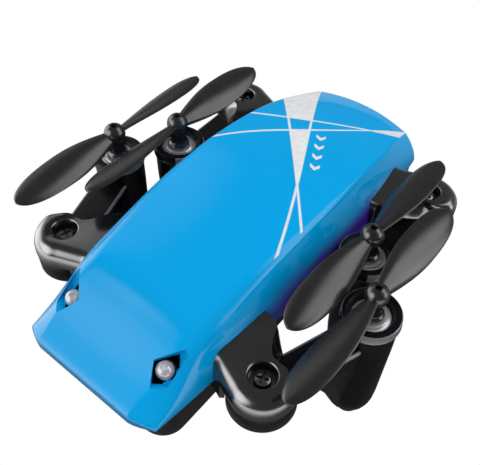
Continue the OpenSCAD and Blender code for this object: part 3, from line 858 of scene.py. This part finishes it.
# ---------------------------------------------------------------- motor caps and feet
CAP = [
    (0, -1.3), (2.66, -1.3), (2.66, -0.4), (2.96, -0.4), (2.99, -0.35), (2.99, -0.3),
    (2.6, -0.26), (2.5, -0.2), (2.45, -0.02), (2.3, 0.09), (2.0, 0.1), (1.9, 0.04),
    (1.5, 0.02), (1.35, 0.1), (1.0, 0.1), (0.95, 0.05), (0, 0.05),
]
FOOT = [
    (0, FLOOR), (0.95, FLOOR), (1.15, FLOOR + 0.08), (1.8, FLOOR + 0.5), (2.15, FLOOR + 0.9),
    (2.35, FLOOR + 1.4), (2.5, -26.1), (2.45, -26.0), (1.2, -26.0), (1.2, -24.55), (1.1, -24.5), (0, -24.5),
]
for end, side in PLACES:
    name = tag(end, side)
    cap = to_object(f"motor_cap_{name}_disc", lathe(CAP, 72), [cap_mat])
    bore = to_object("bore", lathe([(0, -3), (0.56, -3), (0.56, 2), (0, 2)], 32))
    combine(cap, [bore], "DIFFERENCE")
    finish_piece(cap, at_motor(end, side), f"arm_{name}", [f"motor_cap_{name}"], 30)
    foot = to_object(f"foot_{name}_pad", lathe(FOOT, 64), [foot_mat])
    finish_piece(foot, at_motor(end, side), f"arm_{name}", [f"foot_{name}"], 32)

# ---------------------------------------------------------------- propellers
RADIUS, CHORD, ROOT_PITCH, TIP_PITCH = 21.5, 5.9, 32.0, 13.0
BLADE_Z, HUB_Z, HUB_R, WIDEST = 4.7, 4.95, 1.88, 0.52
SLEEVE = [
    (0, 0.55), (1.75, 0.55), (1.85, 0.65), (1.8, 0.8),
    (1.5, 1.0), (1.36, 1.3), (1.33, 2.5), (1.32, 3.6),
]


def chord_at(t):
    if t < WIDEST:
        return CHORD * (0.38 + 0.62 * math.sin(math.pi / 2 * t / WIDEST))
    return CHORD * math.sqrt(max(0.0, 1 - ((t - WIDEST) / (1.0005 - WIDEST)) ** 2.7))


def blade_rings(stations=44, sides=28):
    rings = []
    for k in range(stations):
        t = 1 - (1 - k / (stations - 1)) ** 2.4
        chord = max(0.12, chord_at(t))
        thick = min(chord, 0.62 * (1.45 - 0.75 * t))
        pitch = math.radians(ROOT_PITCH + (TIP_PITCH - ROOT_PITCH) * t)
        y = 0.9 + (RADIUS - 0.9) * t
        camber = 0.085 * chord
        ring = []
        for s in range(sides):
            a = 2 * math.pi * s / sides
            u = chord / 2 * math.copysign(abs(math.cos(a)) ** 0.75, math.cos(a))
            belly = 0.55 + 0.45 * abs(math.sin(a))
            w = thick / 2 * math.sin(a) * belly + camber * (1 - (2 * u / chord) ** 2)
            x = u * math.cos(pitch) + w * math.sin(pitch)
            z = BLADE_Z - u * math.sin(pitch) + w * math.cos(pitch)
            ring.append((x, y, z))
        rings.append(ring)
    return rings


def build_propeller(end, side):
    name = tag(end, side)
    rows = list(SLEEVE)
    start = -math.acos(1.32 / HUB_R)
    for a in np.linspace(start, math.radians(70), 26):
        rows.append((HUB_R * math.cos(a), HUB_Z + HUB_R * math.sin(a)))
    rows += [(0.56, HUB_Z + HUB_R * 0.955), (0.5, HUB_Z + HUB_R * 0.9), (0.5, HUB_Z + 1.0), (0, HUB_Z + 1.0)]
    prop = to_object(f"propeller_{name}_blades", lathe(rows, 72), [prop_mat, hub_mat])
    blades = []
    for turn in (0, 180):
        blade = to_object("blade", rings_mesh(blade_rings()))
        blade.data.transform(Matrix.Rotation(math.radians(turn), 4, "Z"))
        blades.append(blade)
    combine(prop, blades, "UNION")
    bore = to_object("bore", lathe([(0, 0), (0.52, 0), (0.52, HUB_Z + 1.02), (0, HUB_Z + 1.02)], 32))
    combine(prop, [bore], "DIFFERENCE")
    for face in prop.data.polygons:
        if math.hypot(face.center.x, face.center.y) < 2.15:
            face.material_index = 1
    finish_piece(prop, at_motor(end, side), f"prop_{name}", [f"propeller_{name}"], 40)


for end, side in PLACES:
    build_propeller(end, side)

# ---------------------------------------------------------------- lower shell
TUB_X, TUB_R, TUB_FRONT, TUB_REAR = 9.5, 4.0, -31.2, 32.4


def tub_end(x, end):
    """The bowed front or rear line that the corner centres and end faces follow."""
    if end < 0:
        return TUB_FRONT + NOSE_BOW * (x / 13.4) ** 2
    return TUB_REAR - TUB_REAR / 22 * (x / 13.4) ** 2


def tub_corner(side, end, r, angles):
    turns = [math.radians(a) for a in angles]
    return [(side * TUB_X + r * math.cos(a), tub_end(TUB_X, end) + r * math.sin(a)) for a in turns]


def tub_outline(inset):
    """Plan of the shell, walked once around."""
    r = TUB_R - inset
    pts = [(x, tub_end(x, -1) - r) for x in np.linspace(-TUB_X, TUB_X, 15)]
    pts += tub_corner(1, -1, r, np.linspace(-90, 0, 12)[1:])
    pts += [(TUB_X + r, y) for y in np.linspace(-28, 28, 15)]
    pts += tub_corner(1, 1, r, np.linspace(0, 90, 12))
    pts += [(x, tub_end(x, 1) + r) for x in np.linspace(TUB_X, -TUB_X, 15)[1:]]
    pts += tub_corner(-1, 1, r, np.linspace(90, 180, 12)[1:])
    pts += [(-TUB_X - r, y) for y in np.linspace(28, -28, 15)]
    pts += tub_corner(-1, -1, r, np.linspace(180, 270, 12)[:-1])
    return pts


def build_bottom():
    top = SEAM - 0.05
    # inset and height, from the inner floor over the rim and down the outside
    levels = [
        (3.4, BELLY + 1.2), (1.9, BELLY + 1.3), (1.3, BELLY + 2.2), (1.2, top),
        (0.15, top), (0, top - 0.15), (0, BELLY + 2.6),
    ]
    for a in np.linspace(0, 90, 8)[1:]:
        levels.append((2.4 * (1 - math.cos(math.radians(a))), BELLY + 2.4 * (1 - math.sin(math.radians(a)))))
    rings = [[(x, y, z) for x, y in tub_outline(i)] for i, z in levels]
    shell = to_object("lower_shell", rings_mesh(rings), [shell_mat])
    recesses = []
    bosses = []
    for end, side in PLACES:
        m = DATUM.inverted() @ at_pivot(end, side) @ Matrix.Translation((-10.4, 2.8, 0))
        recess = to_object("c", lathe([(0, BELLY - 1), (1.6, BELLY - 1), (1.6, -9), (0, -9)], 48))
        boss = to_object("boss", lathe([(0, BELLY + 0.6), (2.3, BELLY + 0.6), (2.3, -7.6), (0, -7.6)], 48))
        for o in (recess, boss):
            o.data.transform(m)
            tidy_mesh(o)
        recesses.append(recess)
        bosses.append(boss)
    combine(shell, bosses, "UNION")
    hole = to_object("c", lathe([(0, BELLY - 1), (1.85, BELLY - 1), (1.85, -9), (0, -9)], 64))
    hole.data.transform(Matrix.Translation((0, 21, 0)))
    mouth = rounded_box("c", (-4.2, TUB_REAR, top - 2.9), (4.2, TUB_REAR + 6, top + 1), 0.3, 2)
    combine(shell, recesses + [hole, mouth], "DIFFERENCE")
    finish_piece(shell, DATUM, "body", ["bottom_shell"], 35)


build_bottom()

# ---------------------------------------------------------------- CAD nodes that stay as they are
KEPT = {
    "body_screws": steel_mat, "circuit_board": board_mat, "battery": foil_mat, "charging_socket": steel_mat,
    "power_switch": steel_mat, "power_button": button_mat, "pivot_bushes": brass_mat,
}
for end, side in PLACES:
    KEPT[f"motor_{end}_{side}"] = can_mat
    KEPT[f"rotor_{end}_{side}"] = coil_mat
for node, mat in KEPT.items():
    obj = frame["nodes"][node]
    if not obj.material_slots:
        obj.data.materials.append(mat)
    for s in obj.material_slots:
        s.material = mat

# ---------------------------------------------------------------- stage, light and camera
scene = bpy.context.scene


def floor_and_background():
    mesh = bpy.data.meshes.new("floor")
    r = 3.0
    z = -0.0005
    mesh.from_pydata([(-r, -r, z), (r, -r, z), (r, r, z), (-r, r, z)], [], [(0, 1, 2, 3)])
    obj = bpy.data.objects.new("stage_floor", mesh)
    scene.collection.objects.link(obj)
    mat = bpy.data.materials.new("stage_floor")
    mat.use_nodes = True
    t = mat.node_tree
    t.nodes.clear()
    out = t.nodes.new("ShaderNodeOutputMaterial")
    path = t.nodes.new("ShaderNodeLightPath")
    glow = t.nodes.new("ShaderNodeEmission")
    glow.inputs["Color"].default_value = (1, 1, 1, 1)
    amount = t.nodes.new("ShaderNodeMapRange")
    amount.inputs["To Min"].default_value = 0.22
    amount.inputs["To Max"].default_value = 1.0
    t.links.new(path.outputs["Is Camera Ray"], amount.inputs["Value"])
    # the floor's reflection is dark near the object and white far from it
    coord = t.nodes.new("ShaderNodeTexCoord")
    far = t.nodes.new("ShaderNodeVectorMath")
    far.operation = "LENGTH"
    t.links.new(coord.outputs["Object"], far.inputs[0])
    ramp = t.nodes.new("ShaderNodeMapRange")
    ramp.interpolation_type = "SMOOTHSTEP"
    for key, v in (("From Min", 0.045), ("From Max", 0.13), ("To Min", 0.05), ("To Max", 1.0)):
        ramp.inputs[key].default_value = v
    t.links.new(far.outputs["Value"], ramp.inputs["Value"])
    split = t.nodes.new("ShaderNodeSeparateXYZ")
    t.links.new(coord.outputs["Object"], split.inputs[0])
    nearer = t.nodes.new("ShaderNodeMapRange")
    nearer.interpolation_type = "SMOOTHSTEP"
    for key, v in (("From Min", 0.03), ("From Max", -0.06), ("To Min", 0.5), ("To Max", 4.0)):
        nearer.inputs[key].default_value = v
    t.links.new(split.outputs[1], nearer.inputs["Value"])
    shine = t.nodes.new("ShaderNodeMath")
    shine.operation = "MULTIPLY"
    t.links.new(ramp.outputs[0], shine.inputs[0])
    t.links.new(nearer.outputs[0], shine.inputs[1])
    choose = t.nodes.new("ShaderNodeMix")
    choose.data_type = "FLOAT"
    t.links.new(path.outputs["Is Glossy Ray"], choose.inputs[0])
    t.links.new(amount.outputs[0], choose.inputs[2])
    t.links.new(shine.outputs[0], choose.inputs[3])
    t.links.new(choose.outputs[0], glow.inputs["Strength"])
    t.links.new(glow.outputs[0], out.inputs["Surface"])
    mesh.materials.append(mat)


# direction, inner and outer half angle in degrees, strength
LOBES = [
    ((0.48, 0.56, 0.68), 3, 25, 4.5),
    ((-0.45, -0.8, 0.35), 10, 32, 7.0),
    ((-0.95, -0.2, 0.1), 12, 34, 4.5),
    ((0.85, 0.45, 0.25), 6, 24, 5.0),
    ((-0.75, 0.25, 0.6), 8, 25, 0.9),
]


def world_light():
    world = bpy.data.worlds.new("studio")
    scene.world = world
    world.use_nodes = True
    t = world.node_tree
    t.nodes.clear()
    out = t.nodes.new("ShaderNodeOutputWorld")
    back = t.nodes.new("ShaderNodeBackground")
    path = t.nodes.new("ShaderNodeLightPath")
    coord = t.nodes.new("ShaderNodeTexCoord")
    split = t.nodes.new("ShaderNodeSeparateXYZ")
    t.links.new(coord.outputs["Generated"], split.inputs[0])

    def mix(fac, a, b):
        node = t.nodes.new("ShaderNodeMix")
        node.data_type = "FLOAT"
        for socket, value in ((node.inputs[0], fac), (node.inputs[2], a), (node.inputs[3], b)):
            if hasattr(value, "is_output"):
                t.links.new(value, socket)
            else:
                socket.default_value = value
        return node.outputs[0]

    up = t.nodes.new("ShaderNodeMapRange")
    for key, v in (("From Min", -0.1), ("From Max", 0.9), ("To Min", 0.25), ("To Max", 1.25)):
        up.inputs[key].default_value = v
    t.links.new(split.outputs[2], up.inputs["Value"])
    shine = t.nodes.new("ShaderNodeMapRange")
    for key, v in (("From Min", -0.05), ("From Max", 0.3), ("To Min", 0.1), ("To Max", 0.22)):
        shine.inputs[key].default_value = v
    t.links.new(split.outputs[2], shine.inputs["Value"])
    total = shine.outputs[0]
    for direction, inner, outer, strength in LOBES:
        dot = t.nodes.new("ShaderNodeVectorMath")
        dot.operation = "DOT_PRODUCT"
        t.links.new(coord.outputs["Generated"], dot.inputs[0])
        dot.inputs[1].default_value = Vector(direction).normalized()
        fade = t.nodes.new("ShaderNodeMapRange")
        fade.interpolation_type = "SMOOTHSTEP"
        fade.inputs["From Min"].default_value = math.cos(math.radians(outer))
        fade.inputs["From Max"].default_value = math.cos(math.radians(inner))
        fade.inputs["To Min"].default_value = 0.0
        fade.inputs["To Max"].default_value = strength
        t.links.new(dot.outputs["Value"], fade.inputs["Value"])
        add = t.nodes.new("ShaderNodeMath")
        add.operation = "ADD"
        t.links.new(total, add.inputs[0])
        t.links.new(fade.outputs[0], add.inputs[1])
        total = add.outputs[0]
    level = mix(path.outputs["Is Glossy Ray"], up.outputs[0], total)
    level = mix(path.outputs["Is Camera Ray"], level, 1.0)
    back.inputs["Color"].default_value = (1, 1, 1, 1)
    t.links.new(level, back.inputs["Strength"])
    t.links.new(back.outputs[0], out.inputs["Surface"])
    world.cycles.sampling_method = "NONE"


floor_and_background()
world_light()
camera_data = bpy.data.cameras.new("camera")
camera_data.lens = 50
camera_data.sensor_width = 36
camera_data.clip_start = 0.005
camera = bpy.data.objects.new("camera", camera_data)
scene.collection.objects.link(camera)
eye = Vector((0.046127, -0.058083, 0.110767))
right_axis, up_axis = Vector((0.77084, 0.63698, 0.00829)), Vector((-0.48842, 0.58261, 0.64963))
back_axis = right_axis.cross(up_axis)
camera.matrix_world = Matrix.Translation(eye) @ Matrix((right_axis, up_axis, back_axis)).transposed().to_4x4()
scene.camera = camera
scene.view_settings.view_transform = "Standard"
